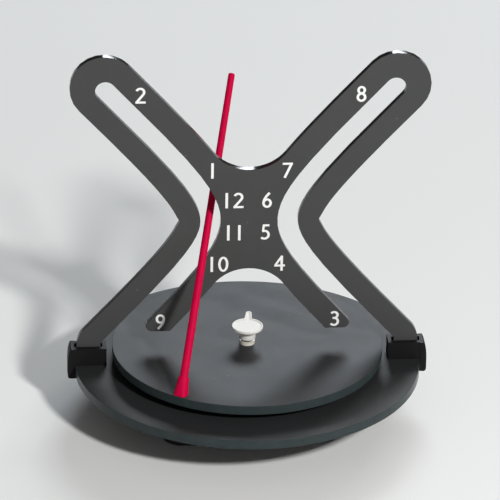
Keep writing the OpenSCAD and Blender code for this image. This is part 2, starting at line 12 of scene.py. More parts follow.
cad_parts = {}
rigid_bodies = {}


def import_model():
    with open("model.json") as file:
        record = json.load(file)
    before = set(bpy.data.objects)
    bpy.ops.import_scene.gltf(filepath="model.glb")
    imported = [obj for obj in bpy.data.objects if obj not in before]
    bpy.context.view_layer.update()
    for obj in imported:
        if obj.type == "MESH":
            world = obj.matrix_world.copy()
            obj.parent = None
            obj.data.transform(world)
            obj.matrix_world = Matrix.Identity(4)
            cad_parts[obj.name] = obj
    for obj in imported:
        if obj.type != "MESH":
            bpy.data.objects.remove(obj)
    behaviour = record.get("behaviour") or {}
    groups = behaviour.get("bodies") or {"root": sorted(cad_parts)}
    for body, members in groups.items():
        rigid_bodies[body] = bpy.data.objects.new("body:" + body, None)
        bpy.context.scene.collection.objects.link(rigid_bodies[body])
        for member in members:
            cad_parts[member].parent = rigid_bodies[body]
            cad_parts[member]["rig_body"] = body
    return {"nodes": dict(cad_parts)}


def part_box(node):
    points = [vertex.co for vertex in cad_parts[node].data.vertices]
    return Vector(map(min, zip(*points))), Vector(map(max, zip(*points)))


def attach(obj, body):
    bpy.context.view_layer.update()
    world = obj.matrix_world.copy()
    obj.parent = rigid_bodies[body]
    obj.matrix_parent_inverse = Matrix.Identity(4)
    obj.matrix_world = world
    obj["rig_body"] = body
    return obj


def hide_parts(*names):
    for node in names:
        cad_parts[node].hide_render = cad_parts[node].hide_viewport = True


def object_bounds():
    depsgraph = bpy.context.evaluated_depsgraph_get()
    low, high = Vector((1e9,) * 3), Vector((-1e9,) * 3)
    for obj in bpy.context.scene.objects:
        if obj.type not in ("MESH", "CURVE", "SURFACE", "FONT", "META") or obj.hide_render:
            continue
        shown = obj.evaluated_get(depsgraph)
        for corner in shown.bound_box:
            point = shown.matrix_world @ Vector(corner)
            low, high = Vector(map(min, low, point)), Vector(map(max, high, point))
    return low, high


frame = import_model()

cad_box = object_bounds()

bl_info = {
    "name": "Kinetic desk clock",
    "version": (1, 0, 0),
    "blender": (4, 5, 0),
    "location": "View3D > Sidebar > Desk clock",
    "description": "Dresses the packed desk clock with its pieces, finishes and studio",
    "category": "Object",
}

MM = 0.001
# Points closer than this, in metres, are one point
WELD = 1e-7


def srgb(red, green, blue):
    """A colour as seen on a screen, 0 to 255, in scene values."""
    def linear(c):
        c /= 255
        return c / 12.92 if c <= 0.04045 else ((c + 0.055) / 1.055) ** 2.4
    return linear(red), linear(green), linear(blue)


def colour(name, description, red, green, blue):
    """A colour that a user may change, given as seen on a screen."""
    return FloatVectorProperty(name=name, description=description, subtype="COLOR", size=3,
                               min=0, max=1, default=srgb(red, green, blue))


def length(name, description, millimetres):
    """A length that a user may change, given in millimetres."""
    return FloatProperty(name=name, description=description, unit="LENGTH",
                         default=millimetres * MM, min=0, precision=5)


class ClockColours(PropertyGroup):
    """Colours of the clock's finishes."""
    base: colour("Base sheet", "Dark sheet of the base disc", 39, 40, 41)
    turntable: colour("Turntable sheet", "Dark grey sheet of the turntable", 47, 48, 50)
    dial: colour("Dial sheet", "Dark grey sheet of the dial", 68, 69, 68)
    rim: colour("Rim", "Cut edge of the discs", 52, 60, 61)
    cut: colour("Cut edge", "Polished cut edge of the dial", 16, 17, 18)
    ink: colour("Ink", "Printed numbers", 246, 246, 244)
    pointer: colour("Pointer", "Crimson paint of the pointer", 206, 2, 64)
    clip: colour("Clip", "Moulded black of the clips", 26, 26, 27)
    knob: colour("Knob", "White moulding of the setting knob", 233, 232, 226)
    case: colour("Case", "Black moulding of the movement case", 26, 26, 27)


class ClockSizes(PropertyGroup):
    """Sizes of the dressed pieces."""
    arris: length("Arris", "Easing of the sheet's cut edges", 0.13)
    clip_round: length("Clip edges", "Rounding of the clips' edges", 0.45)
    sleeve_skirt: length("Sleeve skirt", "Diameter of the pointer's foot where it meets the turntable", 4.6)
    sleeve_round: length("Sleeve edges", "Rounding of the edges of the pointer's foot", 0.25)
    knob_flange: length("Knob flange", "Thickness of the knob's flange at its rim", 1.25)
    knob_bead: length("Knob bead", "Width of the bead round the knob's flange", 0.45)
    lever_reach: length("Lever reach", "Reach of the knob's lever from the axis", 9.9)
    lever_root: length("Lever root", "Width of the knob's lever where it leaves the flange", 2.45)
    lever_tip: length("Lever tip", "Width of the knob's lever at its tip", 1.85)
    lever_turn: FloatProperty(name="Lever turn", description="Turn of the knob's lever from straight back",
                              subtype="ANGLE", default=math.radians(-6.5))
    number_height: length("Number height", "Height of the printed numbers", 5.3)
    ink_film: length("Ink film", "Thickness of the printed numbers", 0.04)
    turn_steps: IntProperty(name="Turning steps", description="Facets of a turned piece",
                            default=192, min=24, max=512)


class ClockStage(PropertyGroup):
    """Camera and studio light."""
    azimuth: FloatProperty(name="Azimuth", description="Camera's turn about the clock",
                           subtype="ANGLE", default=-0.078)
    elevation: FloatProperty(name="Elevation", description="Camera's height above the horizon",
                             subtype="ANGLE", default=0.4523)
    roll: FloatProperty(name="Roll", description="Camera's turn about its own axis",
                        subtype="ANGLE", default=0.015)
    distance: FloatProperty(name="Distance", description="Camera's distance from its target",
                            unit="LENGTH", default=1.158374)
    target: FloatVectorProperty(name="Target", description="Point that the camera looks at",
                                subtype="TRANSLATION", unit="LENGTH", precision=5,
                                default=(-0.001236, -0.0218, 0.0648373))
    lens: FloatProperty(name="Lens", description="Focal length in millimetres", default=270.6)
    key: FloatProperty(name="Key", description="Power of the lamp behind the clock",
                       unit="POWER", default=26.0)
    wing: FloatProperty(name="Wing", description="Power of the lamp behind the clock's right side",
                        unit="POWER", default=11.0)
    front: FloatProperty(name="Front", description="Power of the lamp before the clock",
                         unit="POWER", default=11.5)
    sky: FloatProperty(name="Sky", description="Strength of the light from all round",
                       default=1.0)
    floor: colour("Floor", "Pale floor", 243, 243, 241)


class Wire:
    """A socket among a finish's nodes; an expression on it adds Math nodes."""

    def __init__(self, tree, socket=None):
        self.tree = tree
        self.socket = socket

    def node(self, kind, settings=None, inputs=None, output=0):
        """Adds a node: its settings are set first, then its sockets are filled or linked."""
        made = self.tree.nodes.new(kind)
        for key, value in (settings or {}).items():
            if key == "stops":
                stops = made.color_ramp.elements
                while len(stops) < len(value):
                    stops.new(0.5)
                for stop, (position, grey) in zip(stops, value):
                    stop.position = position
                    stop.color = (grey, grey, grey, 1)
            else:
                setattr(made, key, value)
        for key, value in (inputs or {}).items():
            socket = made.inputs[key]
            if isinstance(value, Wire):
                self.tree.links.new(value.socket, socket)
            elif hasattr(value, "__len__") and socket.type == "RGBA":
                socket.default_value = (*value[:3], 1)
            else:
                socket.default_value = value
        return Wire(self.tree, made.outputs[output] if made.outputs else None)

    def out(self, name):
        """Another output of the same node."""
        return Wire(self.tree, self.socket.node.outputs[name])

    def math(self, operation, left, right):
        """A Math node on two values."""
        return self.node("ShaderNodeMath", {"operation": operation}, {0: left, 1: right})

    def __add__(self, other):
        return self.math("ADD", self, other)

    def __sub__(self, other):
        return self.math("SUBTRACT", self, other)

    def __rsub__(self, other):
        return self.math("SUBTRACT", other, self)

    def __mul__(self, other):
        return self.math("MULTIPLY", self, other)

    __radd__ = __add__
    __rmul__ = __mul__


def new_finish(name):
    """An empty material and the wire that its nodes are added to."""
    material = bpy.data.materials.new(name)
    material.use_nodes = True
    material.node_tree.nodes.clear()
    return material, Wire(material.node_tree)


def close_finish(wire, inputs):
    """Ends a finish in its shader, with the sockets given."""
    shader = wire.node("ShaderNodeBsdfPrincipled", None, inputs)
    wire.node("ShaderNodeOutputMaterial", None, {"Surface": shader})


def place(wire, stretch=(1, 1, 1)):
    """The piece's own coordinates in metres, stretched along the axes."""
    coords = wire.node("ShaderNodeTexCoord", output="Object")
    if stretch == (1, 1, 1):
        return coords
    return wire.node("ShaderNodeVectorMath", {"operation": "MULTIPLY"}, {0: coords, 1: stretch})


def noise(wire, at, scale, detail=2.0, rough=0.5):
    """Smooth noise from nought to one, with scale in waves to the metre."""
    return wire.node("ShaderNodeTexNoise", {"noise_dimensions": "3D"},
                     {"Vector": at, "Scale": scale, "Detail": detail, "Roughness": rough})


def specks(wire, at, scale, radius):
    """One in small scattered dots, nought elsewhere."""
    cells = wire.node("ShaderNodeTexVoronoi", {"feature": "F1"},
                      {"Vector": at, "Scale": scale, "Randomness": 1.0}, "Distance")
    lot = wire.node("ShaderNodeSeparateColor", None, {"Color": cells.out("Color")})
    return wire.math("LESS_THAN", cells, lot * radius)


def ramp(wire, value, *stops):
    """A value read off a grey ramp, whose stops are (position, grey)."""
    return wire.node("ShaderNodeValToRGB", {"stops": stops}, {"Fac": value})


def blend(wire, factor, first, second):
    """A mix of two colours."""
    return wire.node("ShaderNodeMix", {"data_type": "RGBA"}, {0: factor, 6: first, 7: second}, 2)


def varied(wire, factor, tint, least, most):
    """A tint that wanders between two of its shades."""
    dark, pale = (tuple(min(1.0, c * share) for c in tint) for share in (least, most))
    return blend(wire, factor, dark, pale)


def bump(wire, height, depth):
    """A surface raised by a height, whose full depth is in metres."""
    return wire.node("ShaderNodeBump", None, {"Strength": 1.0, "Distance": depth, "Height": height})


DUST = (0.5, 0.5, 0.5)


def sheet_finish(name, tint, sheen):
    """Satin sheet: faint clouding, rubbed patches, hairline scratches and a little dust."""
    material, wire = new_finish(name)
    at = place(wire)
    cloud = noise(wire, at, scale=55.0, detail=3.0)
    rub = noise(wire, at, scale=130.0, detail=4.0, rough=0.6)
    grain = noise(wire, at, scale=5200.0)
    hair = noise(wire, place(wire, stretch=(1, 0.03, 0.06)), scale=2600.0)
    line = ramp(wire, hair, (0.66, 0.0), (0.74, 1.0))
    dust = specks(wire, at, scale=260.0, radius=0.055)
    clean = varied(wire, cloud, tint, least=0.9, most=1.1)
    close_finish(wire, {
        "Base Color": blend(wire, dust * 0.35, clean, DUST),
        "Roughness": 0.56 + rub * 0.08 + dust * 0.2 - line * 0.05,
        "Specular IOR Level": sheen,
        "Normal": bump(wire, grain * 0.6 + line * 0.25, depth=4e-6),
    })
    return material


def cut_finish(name, tint, stretch, rough, sheen):
    """Polished cut edge with the fine upright lines that the cutter leaves."""
    material, wire = new_finish(name)
    at = place(wire)
    stria = noise(wire, place(wire, stretch), scale=3800.0)
    wander = noise(wire, at, scale=300.0)
    close_finish(wire, {
        "Base Color": varied(wire, wander, tint, least=0.8, most=1.25),
        "Roughness": rough + stria * 0.06 + wander * 0.04,
        "Specular IOR Level": sheen,
        "Normal": bump(wire, stria + wander * 0.5, depth=1.5e-6),
    })
    return material


def ink_finish(name, tint):
    """Printed white ink with a faint screen grain."""
    material, wire = new_finish(name)
    at = place(wire)
    grain = noise(wire, at, scale=4200.0)
    wear = noise(wire, at, scale=500.0, detail=3.0)
    close_finish(wire, {
        "Base Color": varied(wire, wear, tint, least=0.95, most=1.03),
        "Roughness": 0.45 + grain * 0.15,
        "Normal": bump(wire, grain, depth=6e-6),
    })
    return material


# How far light spreads inside pale plastic, in metres, and its share for red, green and blue
SPREAD = 0.0008
SPREAD_SHARES = (1.0, 0.9, 0.8)


def moulded_finish(name, tint, rough, grain_scale, grain_depth, sheen=0.5, inside=0.0):
    """Moulded plastic with a spark-eroded grain; inside is the share of light that spreads in it."""
    material, wire = new_finish(name)
    at = place(wire)
    grain = noise(wire, at, grain_scale, detail=3.0)
    flow = noise(wire, at, scale=90.0, detail=3.0)
    inputs = {
        "Base Color": varied(wire, flow, tint, least=0.92, most=1.08),
        "Roughness": rough - 0.08 + grain * 0.1 + flow * 0.08,
        "Specular IOR Level": sheen,
        "Normal": bump(wire, grain, depth=grain_depth),
    }
    if inside:
        inputs["Subsurface Weight"] = inside
        inputs["Subsurface Radius"] = SPREAD_SHARES
        inputs["Subsurface Scale"] = SPREAD
    close_finish(wire, inputs)
    return material


def paint_finish(name, tint, along):
    """Sprayed paint: a soft gloss over faint runs and ripples along the piece."""
    material, wire = new_finish(name)
    at = place(wire)
    peel = noise(wire, at, scale=1500.0)
    runs = noise(wire, place(wire, along), scale=700.0, detail=3.0)
    close_finish(wire, {
        "Base Color": varied(wire, runs, tint, least=0.8, most=1.15),
        "Roughness": 0.48 + peel * 0.14,
        "Specular IOR Level": 0.07,
        "Normal": bump(wire, peel * 0.7 + runs * 0.5, depth=1.2e-5),
    })
    return material


def metal_finish(name, tint, rough, lines):
    """Bare metal with fine tool lines and a little tarnish."""
    material, wire = new_finish(name)
    at = place(wire)
    tool = noise(wire, place(wire, lines), scale=4000.0)
    tarnish = noise(wire, at, scale=400.0, detail=3.0)
    close_finish(wire, {
        "Base Color": varied(wire, tarnish, tint, least=0.75, most=1.05),
        "Metallic": 1.0,
        "Roughness": rough + tool * 0.15 + tarnish * 0.08,
        "Normal": bump(wire, tool, depth=4e-6),
    })
    return material


def winding_finish(name, tint):
    """Enamelled wire wound in close turns along the coil, with painted shade in the valleys between turns."""
    material, wire = new_finish(name)
    bands = wire.node("ShaderNodeTexWave", {"wave_type": "BANDS", "bands_direction": "Y"},
                      {"Vector": place(wire), "Scale": 2600.0, "Distortion": 0.6, "Detail": 1.0})
    shade = bands.out("Fac")
    close_finish(wire, {
        # Painted shade: the wire's colour falls to under half its tint in the valleys between turns
        "Base Color": varied(wire, shade, tint, least=0.45, most=1.1),
        "Metallic": 0.7,
        "Roughness": 0.3 + shade * 0.1,
        "Normal": bump(wire, shade, depth=3e-5),
    })
    return material


def board_finish(name, tint):
    """Lacquered circuit board with faint tracks under the lacquer."""
    material, wire = new_finish(name)
    cells = wire.node("ShaderNodeTexVoronoi", {"feature": "DISTANCE_TO_EDGE"},
                      {"Vector": place(wire), "Scale": 420.0}, "Distance")
    track = ramp(wire, cells, (0.04, 1.0), (0.08, 0.0))
    weave = noise(wire, place(wire), scale=2500.0)
    close_finish(wire, {
        "Base Color": varied(wire, track, tint, least=0.8, most=1.6),
        "Roughness": 0.3 + weave * 0.15,
        "Normal": bump(wire, track + weave * 0.2, depth=2e-5),
    })
    return material


def floor_finish(name, tint):
    """Pale matt floor with a faint tooth."""
    material, wire = new_finish(name)
    at = place(wire)
    tooth = noise(wire, at, scale=900.0, detail=3.0)
    wash = noise(wire, at, scale=3.0)
    close_finish(wire, {
        "Base Color": varied(wire, wash, tint, least=0.985, most=1.015),
        "Roughness": 0.85 + tooth * 0.15,
        "Specular IOR Level": 0.05,
        "Normal": bump(wire, tooth, depth=1e-5),
    })
    return material


def points_of(node):
    """A node's points at rest."""
    return [v.co.copy() for v in frame["nodes"][node].data.vertices]


def reach(node):
    """Smallest and largest distance of a node's points from the clock's axis."""
    spans = [math.hypot(p.x, p.y) for p in points_of(node)]
    return min(spans), max(spans)


def add_piece(name, bm, materials, sharp=40):
    """A smooth-shaded object from a bmesh, which is freed."""
    bmesh.ops.recalc_face_normals(bm, faces=bm.faces)
    mesh = bpy.data.meshes.new(name)
    bm.to_mesh(mesh)
    bm.free()
    for material in materials:
        mesh.materials.append(material)
    mesh.polygons.foreach_set("use_smooth", [True] * len(mesh.polygons))
    mesh.set_sharp_from_angle(angle=math.radians(sharp))
    piece = bpy.data.objects.new(name, mesh)
    bpy.context.scene.collection.objects.link(piece)
    weights = piece.modifiers.new("even_normals", "WEIGHTED_NORMAL")
    weights.keep_sharp = True
    return piece


def seat(piece, node):
    """Puts a piece in the place of a CAD node."""
    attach(piece, frame["nodes"][node]["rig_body"])
    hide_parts(node)


# Share of a side that the rounding of one corner may take
MOST_OF_SIDE = 0.49


def eased(corners, steps=4):
    """An open profile whose corners, given as (across, up, radius), are rounded."""
    points = [Vector(corners[0][:2])]
    for before, corner, after in zip(corners, corners[1:], corners[2:]):
        tip = Vector(corner[:2])
        back = Vector(before[:2]) - tip
        on = Vector(after[:2]) - tip
        radius = corner[2] if len(corner) > 2 else 0
        if radius <= 0:
            points.append(tip)
            continue
        half = back.angle(on) / 2
        run = min(radius / math.tan(half), MOST_OF_SIDE * back.length, MOST_OF_SIDE * on.length)
        start, end = tip + back.normalized() * run, tip + on.normalized() * run
        for i in range(steps + 1):
            s = i / steps
            points.append(start * (1 - s) ** 2 + tip * (2 * s * (1 - s)) + end * s ** 2)
    points.append(Vector(corners[-1][:2]))
    return [tuple(p) for p in points]


def turned(profile, steps, stand=Matrix.Identity(4), ring=False, outline=None):
    """A form about the axis of stand, from a profile of (radius, height): round, or to an outline."""
    bm = bmesh.new()
    turns = [2 * math.pi * i / steps for i in range(steps)]
    rings = []
    for radius, height in profile:
        if radius < WELD:
            spots = [(0, 0)]
        elif outline:
            spots = outline(radius)
        else:
            spots = [(radius * math.cos(t), radius * math.sin(t)) for t in turns]
        rings.append([bm.verts.new(stand @ Vector((x, y, height))) for x, y in spots])
    pairs = list(zip(rings, rings[1:]))
    if ring:
        pairs.append((rings[-1], rings[0]))
    for low, high in pairs:
        for i in range(steps):
            j = (i + 1) % steps
            corners = [low[i % len(low)], low[j % len(low)], high[j % len(high)], high[i % len(high)]]
            corners = [c for k, c in enumerate(corners) if c not in corners[:k]]
            if len(corners) > 2:
                bm.faces.new(corners)
    return bm


# Faces that turn by less than this, in degrees, are one face
FLAT = 0.6


def copy_of(node):
    """A welded copy of a node's mesh with its flat areas joined up."""
    bm = bmesh.new()
    bm.from_mesh(frame["nodes"][node].data)
    bmesh.ops.remove_doubles(bm, verts=bm.verts, dist=WELD)
    bmesh.ops.dissolve_limit(bm, angle_limit=math.radians(FLAT), verts=bm.verts, edges=bm.edges)
    return bm


def ease_edges(bm, width, steps, sharp=40):
    """Rounds the edges that turn by more than an angle."""
    edges = [e for e in bm.edges if e.is_manifold and e.calc_face_angle() > math.radians(sharp)]
    bmesh.ops.bevel(bm, geom=edges, offset=width, offset_type="OFFSET", segments=steps, profile=0.5,
                    affect="EDGES", clamp_overlap=True)


# Least cosine between the sheet's axis and a face that isn't part of the cut
FACING = 0.6


def mark_cut(bm, axis):
    """Gives the cut edges of a sheet, which face across its axis, the second material."""
    bm.normal_update()
    for face in bm.faces:
        face.material_index = 0 if abs(face.normal.dot(axis)) > FACING else 1


class CLOCK_OT_discs(Operator):
    """Make the base disc and the turntable disc"""
    bl_idname = "clock.discs"
    bl_label = "Sheet discs"

    def execute(self, context):
        sizes, colours = context.scene.clock_sizes, context.scene.clock_colours
        cut = cut_finish("disc_cut_edge", colours.rim, stretch=(1, 1, 0.05), rough=0.2, sheen=0.14)
        for node, slot, tint in (("base_disc", "sheet_dark", colours.base),
                                 ("turntable_disc", "sheet_smoke", colours.turntable)):
            low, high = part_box(node)
            hole, rim = reach(node)
            places = (hole, low.z), (rim, low.z), (rim, high.z), (hole, high.z)
            corners = [(across, up, sizes.arris) for across, up in places]
            loop = eased([corners[-1], *corners, corners[0]])[1:-1]
            bm = turned(loop, sizes.turn_steps, ring=True)
            mark_cut(bm, Vector((0, 0, 1)))
            face = sheet_finish(node + "_face", tint, sheen=0.35)
            seat(add_piece(node + "_sheet", bm, [face, cut]), node)
        return {"FINISHED"}


class CLOCK_OT_dial(Operator):
    """Make the upright dial plate"""
    bl_idname = "clock.dial"
    bl_label = "Dial plate"

    def execute(self, context):
        sizes, colours = context.scene.clock_sizes, context.scene.clock_colours
        bm = copy_of("dial_plate")
        ease_edges(bm, sizes.arris, steps=2)
        mark_cut(bm, Vector((0, 1, 0)))
        face = sheet_finish("dial_face", colours.dial, sheen=0.22)
        cut = cut_finish("dial_cut_edge", colours.cut, stretch=(1, 0.05, 1), rough=0.1, sheen=0.22)
        seat(add_piece("dial_sheet", bm, [face, cut]), "dial_plate")
        return {"FINISHED"}


# Widths of a digit's strokes, upright and level, and the closeness that joins them, in shares of its height
STROKE = 0.15
BAR = 0.132
STROKE_WELD = 1e-5
# Faces of a digit that turn by less than this, in degrees, are one face
PRINT_FLAT = 1.0
# Share of the ink's film that lies in the sheet
INK_SINK = 0.125


def arc(across, up, wide, high, start, end, steps=28):
    """Points on an ellipse round (across, up), from one angle in degrees to another."""
    turns = [math.radians(start + (end - start) * i / steps) for i in range(steps + 1)]
    return [(across + wide * math.cos(t), up + high * math.sin(t)) for t in turns]


def curve(a, b, c, d, steps=16):
    """Points on the cubic curve from a to d that b and c pull."""
    points = []
    for i in range(steps + 1):
        s = i / steps
        parts = ((1 - s) ** 3, 3 * s * (1 - s) ** 2, 3 * s * s * (1 - s), s ** 3)
        points.append(tuple(sum(w * p[k] for w, p in zip(parts, (a, b, c, d))) for k in (0, 1)))
    return points


SIX = [(arc(0.285, 0.31, 0.21, 0.24, 0, 360), STROKE, BAR),
       (curve((0.43, 0.975), (0.24, 0.78), (0.08, 0.57), (0.077, 0.32)), STROKE, STROKE)]
# Each digit's width and strokes in shares of its height; a stroke is its centre line and its widths where
# it runs upright and level
DIGITS = {
    "0": (0.61, [(arc(0.305, 0.5, 0.23, 0.432, 0, 360), STROKE, BAR)]),
    "1": (0.155, [([(0.0775, 0), (0.0775, 1)], 0.155, 0.155)]),
    "2": (0.6, [(arc(0.285, 0.705, 0.225, 0.227, 158, -40)
                 + [(0.09, 0.1)], STROKE, BAR), ([(0.0, 0.066), (0.6, 0.066)], BAR, BAR)]),
    "3": (0.57, [(arc(0.265, 0.735, 0.2, 0.197, 148, -90) + [(0.17, 0.538)], STROKE, BAR),
                 (arc(0.262, 0.302, 0.232, 0.236, 90, -146), STROKE, BAR)]),
    "4": (0.64, [([(0.44, 0), (0.44, 0.995)], STROKE, STROKE), ([(0.0, 0.345), (0.64, 0.345)], BAR, BAR),
                 ([(0.055, 0.36), (0.44, 0.945)], BAR, BAR)]),
    "5": (0.585, [([(0.16, 0.934), (0.55, 0.934)], BAR, BAR), ([(0.215, 0.95), (0.178, 0.55)], 0.13, 0.13),
                  (arc(0.26, 0.322, 0.25, 0.256, 122, -138), STROKE, BAR)]),
    "6": (0.57, SIX),
    "7": (0.61, [([(0.0, 0.934), (0.6, 0.934)], BAR, BAR), ([(0.53, 0.94), (0.125, 0.03)], STROKE, STROKE)]),
    "8": (0.58, [(arc(0.29, 0.29, 0.215, 0.224, 0, 360), STROKE, BAR),
                 (arc(0.29, 0.735, 0.183, 0.2, 0, 360), 0.145, BAR)]),
    "9": (0.57, [([(0.57 - x, 1 - y) for x, y in line], a, b) for line, a, b in SIX]),
}
# Space between the two digits of a number
GAPS = {"10": 0.3, "11": 0.5, "12": 0.32}
# Middle of each number on the dial: across, and up from the top of the base, in millimetres
NUMBERS = {"2": (-34.1, 92.3), "1": (-11.7, 66.4), "12": (-4.7, 56.1), "11": (-4.8, 44.9), "10": (-9.2, 34.0),
           "9": (-27.75, 14.1), "8": (34.2, 91.7), "7": (11.8, 66.1), "6": (5.5, 56.0), "5": (5.0, 45.0),
           "4": (9.8, 34.0), "3": (27.6, 14.05)}


def stroke_quads(line, upright, level, shift):
    """Four-cornered steps along a stroke, whose width follows its direction."""
    points = [Vector((x + shift, y)) for x, y in line]
    closed = (points[0] - points[-1]).length < STROKE_WELD
    sides = []
    for i, point in enumerate(points):
        before = points[i - 1] if i else (points[-2] if closed else point)
        after = points[i + 1] if i + 1 < len(points) else (points[1] if closed else point)
        run = (after - before).normalized()
        half = Vector((-run.y, run.x)) * (upright * abs(run.y) + level * (1 - abs(run.y))) / 2
        sides.append((point + half, point - half))
    return [(a[0], a[1], b[1], b[0]) for a, b in zip(sides, sides[1:])]


def number_mesh(text, height, film, middle, front):
    """A thin printed number that stands on the dial's front face."""
    quads, shift = [], 0
    for digit in text:
        wide, strokes = DIGITS[digit]
        for line, upright, level in strokes:
            quads += stroke_quads(line, upright, level, shift)
        shift += wide + GAPS.get(text, 0)
    total = shift - GAPS.get(text, 0)
    corners = [c for quad in quads for c in quad]
    faces = [list(range(4 * i, 4 * i + 4)) for i in range(len(quads))]
    points, _, cells, _, _, sources = delaunay_2d_cdt(corners, [], faces, 1, STROKE_WELD)
    bm = bmesh.new()
    verts = [bm.verts.new((middle.x + (p.x - total / 2) * height, front,
                           middle.y + (p.y - 0.5) * height)) for p in points]
    for cell, source in zip(cells, sources):
        if source:
            bm.faces.new([verts[i] for i in cell])
    bmesh.ops.delete(bm, geom=[v for v in bm.verts if not v.link_faces], context="VERTS")
    bmesh.ops.dissolve_limit(bm, angle_limit=math.radians(PRINT_FLAT), verts=bm.verts, edges=bm.edges)
    grown = bmesh.ops.extrude_face_region(bm, geom=bm.faces[:])
    moved = [v for v in grown["geom"] if isinstance(v, bmesh.types.BMVert)]
    bmesh.ops.translate(bm, verts=moved, vec=(0, -film, 0))
    # A fixed order, so that each run gives the same mesh
    for rank, vert in enumerate(sorted(bm.verts, key=lambda v: v.co.to_tuple())):
        vert.index = rank
    bm.verts.sort()
    for rank, face in enumerate(sorted(bm.faces, key=lambda f: f.calc_center_median().to_tuple())):
        face.index = rank
    bm.faces.sort()
    return bm


class CLOCK_OT_numbers(Operator):
    """Print the hours on the dial"""
    bl_idname = "clock.numbers"
    bl_label = "Printed numbers"

    def execute(self, context):
        sizes, colours = context.scene.clock_sizes, context.scene.clock_colours
        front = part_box("dial_plate")[0].y + INK_SINK * sizes.ink_film
        base_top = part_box("base_disc")[1].z
        ink = ink_finish("number_ink", colours.ink)
        for text, (across, up) in NUMBERS.items():
            middle = Vector((across * MM, base_top + up * MM))
            bm = number_mesh(text, sizes.number_height, sizes.ink_film, middle, front)
            piece = add_piece("number_" + text, bm, [ink])
            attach(piece, "stand")
        return {"FINISHED"}


class CLOCK_OT_clips(Operator):
    """Make the two clips that hold the dial on the base"""
    bl_idname = "clock.clips"
    bl_label = "Clips"

    def execute(self, context):
        sizes, colours = context.scene.clock_sizes, context.scene.clock_colours
        black = moulded_finish("clip_black", colours.clip, rough=0.5, grain_scale=3500.0, grain_depth=1.2e-5,
                               sheen=0.09)
        for node in ("left_clip", "right_clip"):
            bm = copy_of(node)
            ease_edges(bm, sizes.clip_round, steps=3, sharp=30)
            seat(add_piece(node + "_moulding", bm, [black]), node)
        return {"FINISHED"}


def pointer_axis():
    """Where the pointer's axis meets the turntable, the axis' direction, and the pointer's length."""
    points = points_of("pointer_rod")
    low = min(p.z for p in points)
    sole = [p for p in points if p.z < low + WELD]
    foot = Vector([(min(p[k] for p in sole) + max(p[k] for p in sole)) / 2 for k in range(3)])
    tip = max(points, key=lambda p: (p - foot).length)
    return foot, (tip - foot).normalized(), (tip - foot).length


def along_axis(points, foot, axis):
    """Each point's place along an axis and its distance from it."""
    runs = [(p - foot).dot(axis) for p in points]
    return [(run, (p - foot - axis * run).length) for run, p in zip(runs, points)]


def stand_on(foot, axis):
    """The matrix that stands a form on a foot along an axis."""
    return Matrix.Translation(foot) @ axis.to_track_quat("Z", "Y").to_matrix().to_4x4()


def level_foot(bm, foot, axis, height):
    """Slides the points of a leaning form along its axis: level at its foot, square above a height."""
    for v in bm.verts:
        run = (v.co - foot).dot(axis)
        across = v.co - foot - axis * run
        plane = Vector((0, 0, 1)).lerp(axis, min(1, run / height))
        v.co -= axis * (across.dot(plane) / axis.dot(plane))


# Waist of the pointer's foot: its share of the foot's height, and of the skirt's spread beyond the shoulder
WAIST_UP = 0.55
WAIST_SPREAD = 0.2


class CLOCK_OT_pointer(Operator):
    """Make the leaning pointer and its foot"""
    bl_idname = "clock.pointer"
    bl_label = "Pointer"

    def execute(self, context):
        sizes, colours = context.scene.clock_sizes, context.scene.clock_colours
        red = paint_finish("pointer_red", colours.pointer, along=(1, 1, 0.12))
        foot, axis, reach_up = pointer_axis()
        stand = stand_on(foot, axis)
        rings = along_axis(points_of("pointer_sleeve"), foot, axis)
        top = max(run for run, _ in rings)
        shoulder = max(radius for run, radius in rings if run > top - WELD)
        skirt = sizes.sleeve_skirt / 2
        rim = reach("pointer_sleeve")[1]
        drawn = along_axis(points_of("pointer_rod"), foot, axis)
        thick = max(radius for run, radius in drawn if run > 0)
        thin = max(radius for run, radius in drawn if run > reach_up - 2 * shoulder)

        steps = sizes.turn_steps // 2
        waist = WAIST_UP * top
        slender = shoulder + WAIST_SPREAD * (skirt - shoulder)
        profile = eased([(0, 0), (skirt, 0, sizes.sleeve_round), (slender, waist, waist),
                         (shoulder, top, sizes.sleeve_round), (0, top)], steps=8)
        sleeve = turned(profile, steps, stand)
        level_foot(sleeve, foot, axis, waist)
        for v in sleeve.verts:
            v.co.xy *= min(1, rim / max(v.co.xy.length, WELD))
        seat(add_piece("pointer_sleeve_painted", sleeve, [red]), "pointer_sleeve")

        profile = eased([(0, 0), (thick, 0), (thick, top), (thin, reach_up - thin), (thin, reach_up, thin),
                         (0, reach_up)], steps=8)
        rod = turned(profile, steps, stand)
        level_foot(rod, foot, axis, top)
        seat(add_piece("pointer_rod_painted", rod, [red], sharp=60), "pointer_rod")
        return {"FINISHED"}


# Steps along one side of the knob's flange and round the tip of its lever
FLANGE_STEPS = 56
TIP_STEPS = 10
# Setting knob, in metres: its sole above the solid's, the edges of its bore, sole and flange, and the flare
# from its hub to its flange
SOLE_LIFT = 0.15 * MM
BORE_EDGE = 0.1 * MM
SOLE_EDGE = 0.3 * MM
FLANGE_EDGE = 0.4 * MM
FLARE_WIDE = 0.5 * MM
FLARE_HIGH = 0.7 * MM
FLARE_LOW_ROUND = 0.8 * MM
FLARE_TOP_ROUND = 0.5 * MM
# Bead round the flange, in shares of its width: depth of the dish inside it, where its slope ends, the
# roundings of its edges and of its foot, and what the lever's outline still covers
DISH = 0.6
SLOPE_END = 1.3
OUTER_EDGE = 0.5
INNER_EDGE = 0.4
SLOPE_FOOT = 0.3
LEVER_COVER = 1.5


def lever_outline(disc, root, tip, end):
    """A round flange with a tapered lever to the back, seen from above; widths are halves."""
    joint = 90 - math.degrees(math.asin(root / disc))
    half = arc(0, 0, disc, disc, -90, joint, FLANGE_STEPS) + arc(0, end - tip, tip, tip, 0, 90, TIP_STEPS)
    return half + [(-x, y) for x, y in reversed(half[1:-1])]


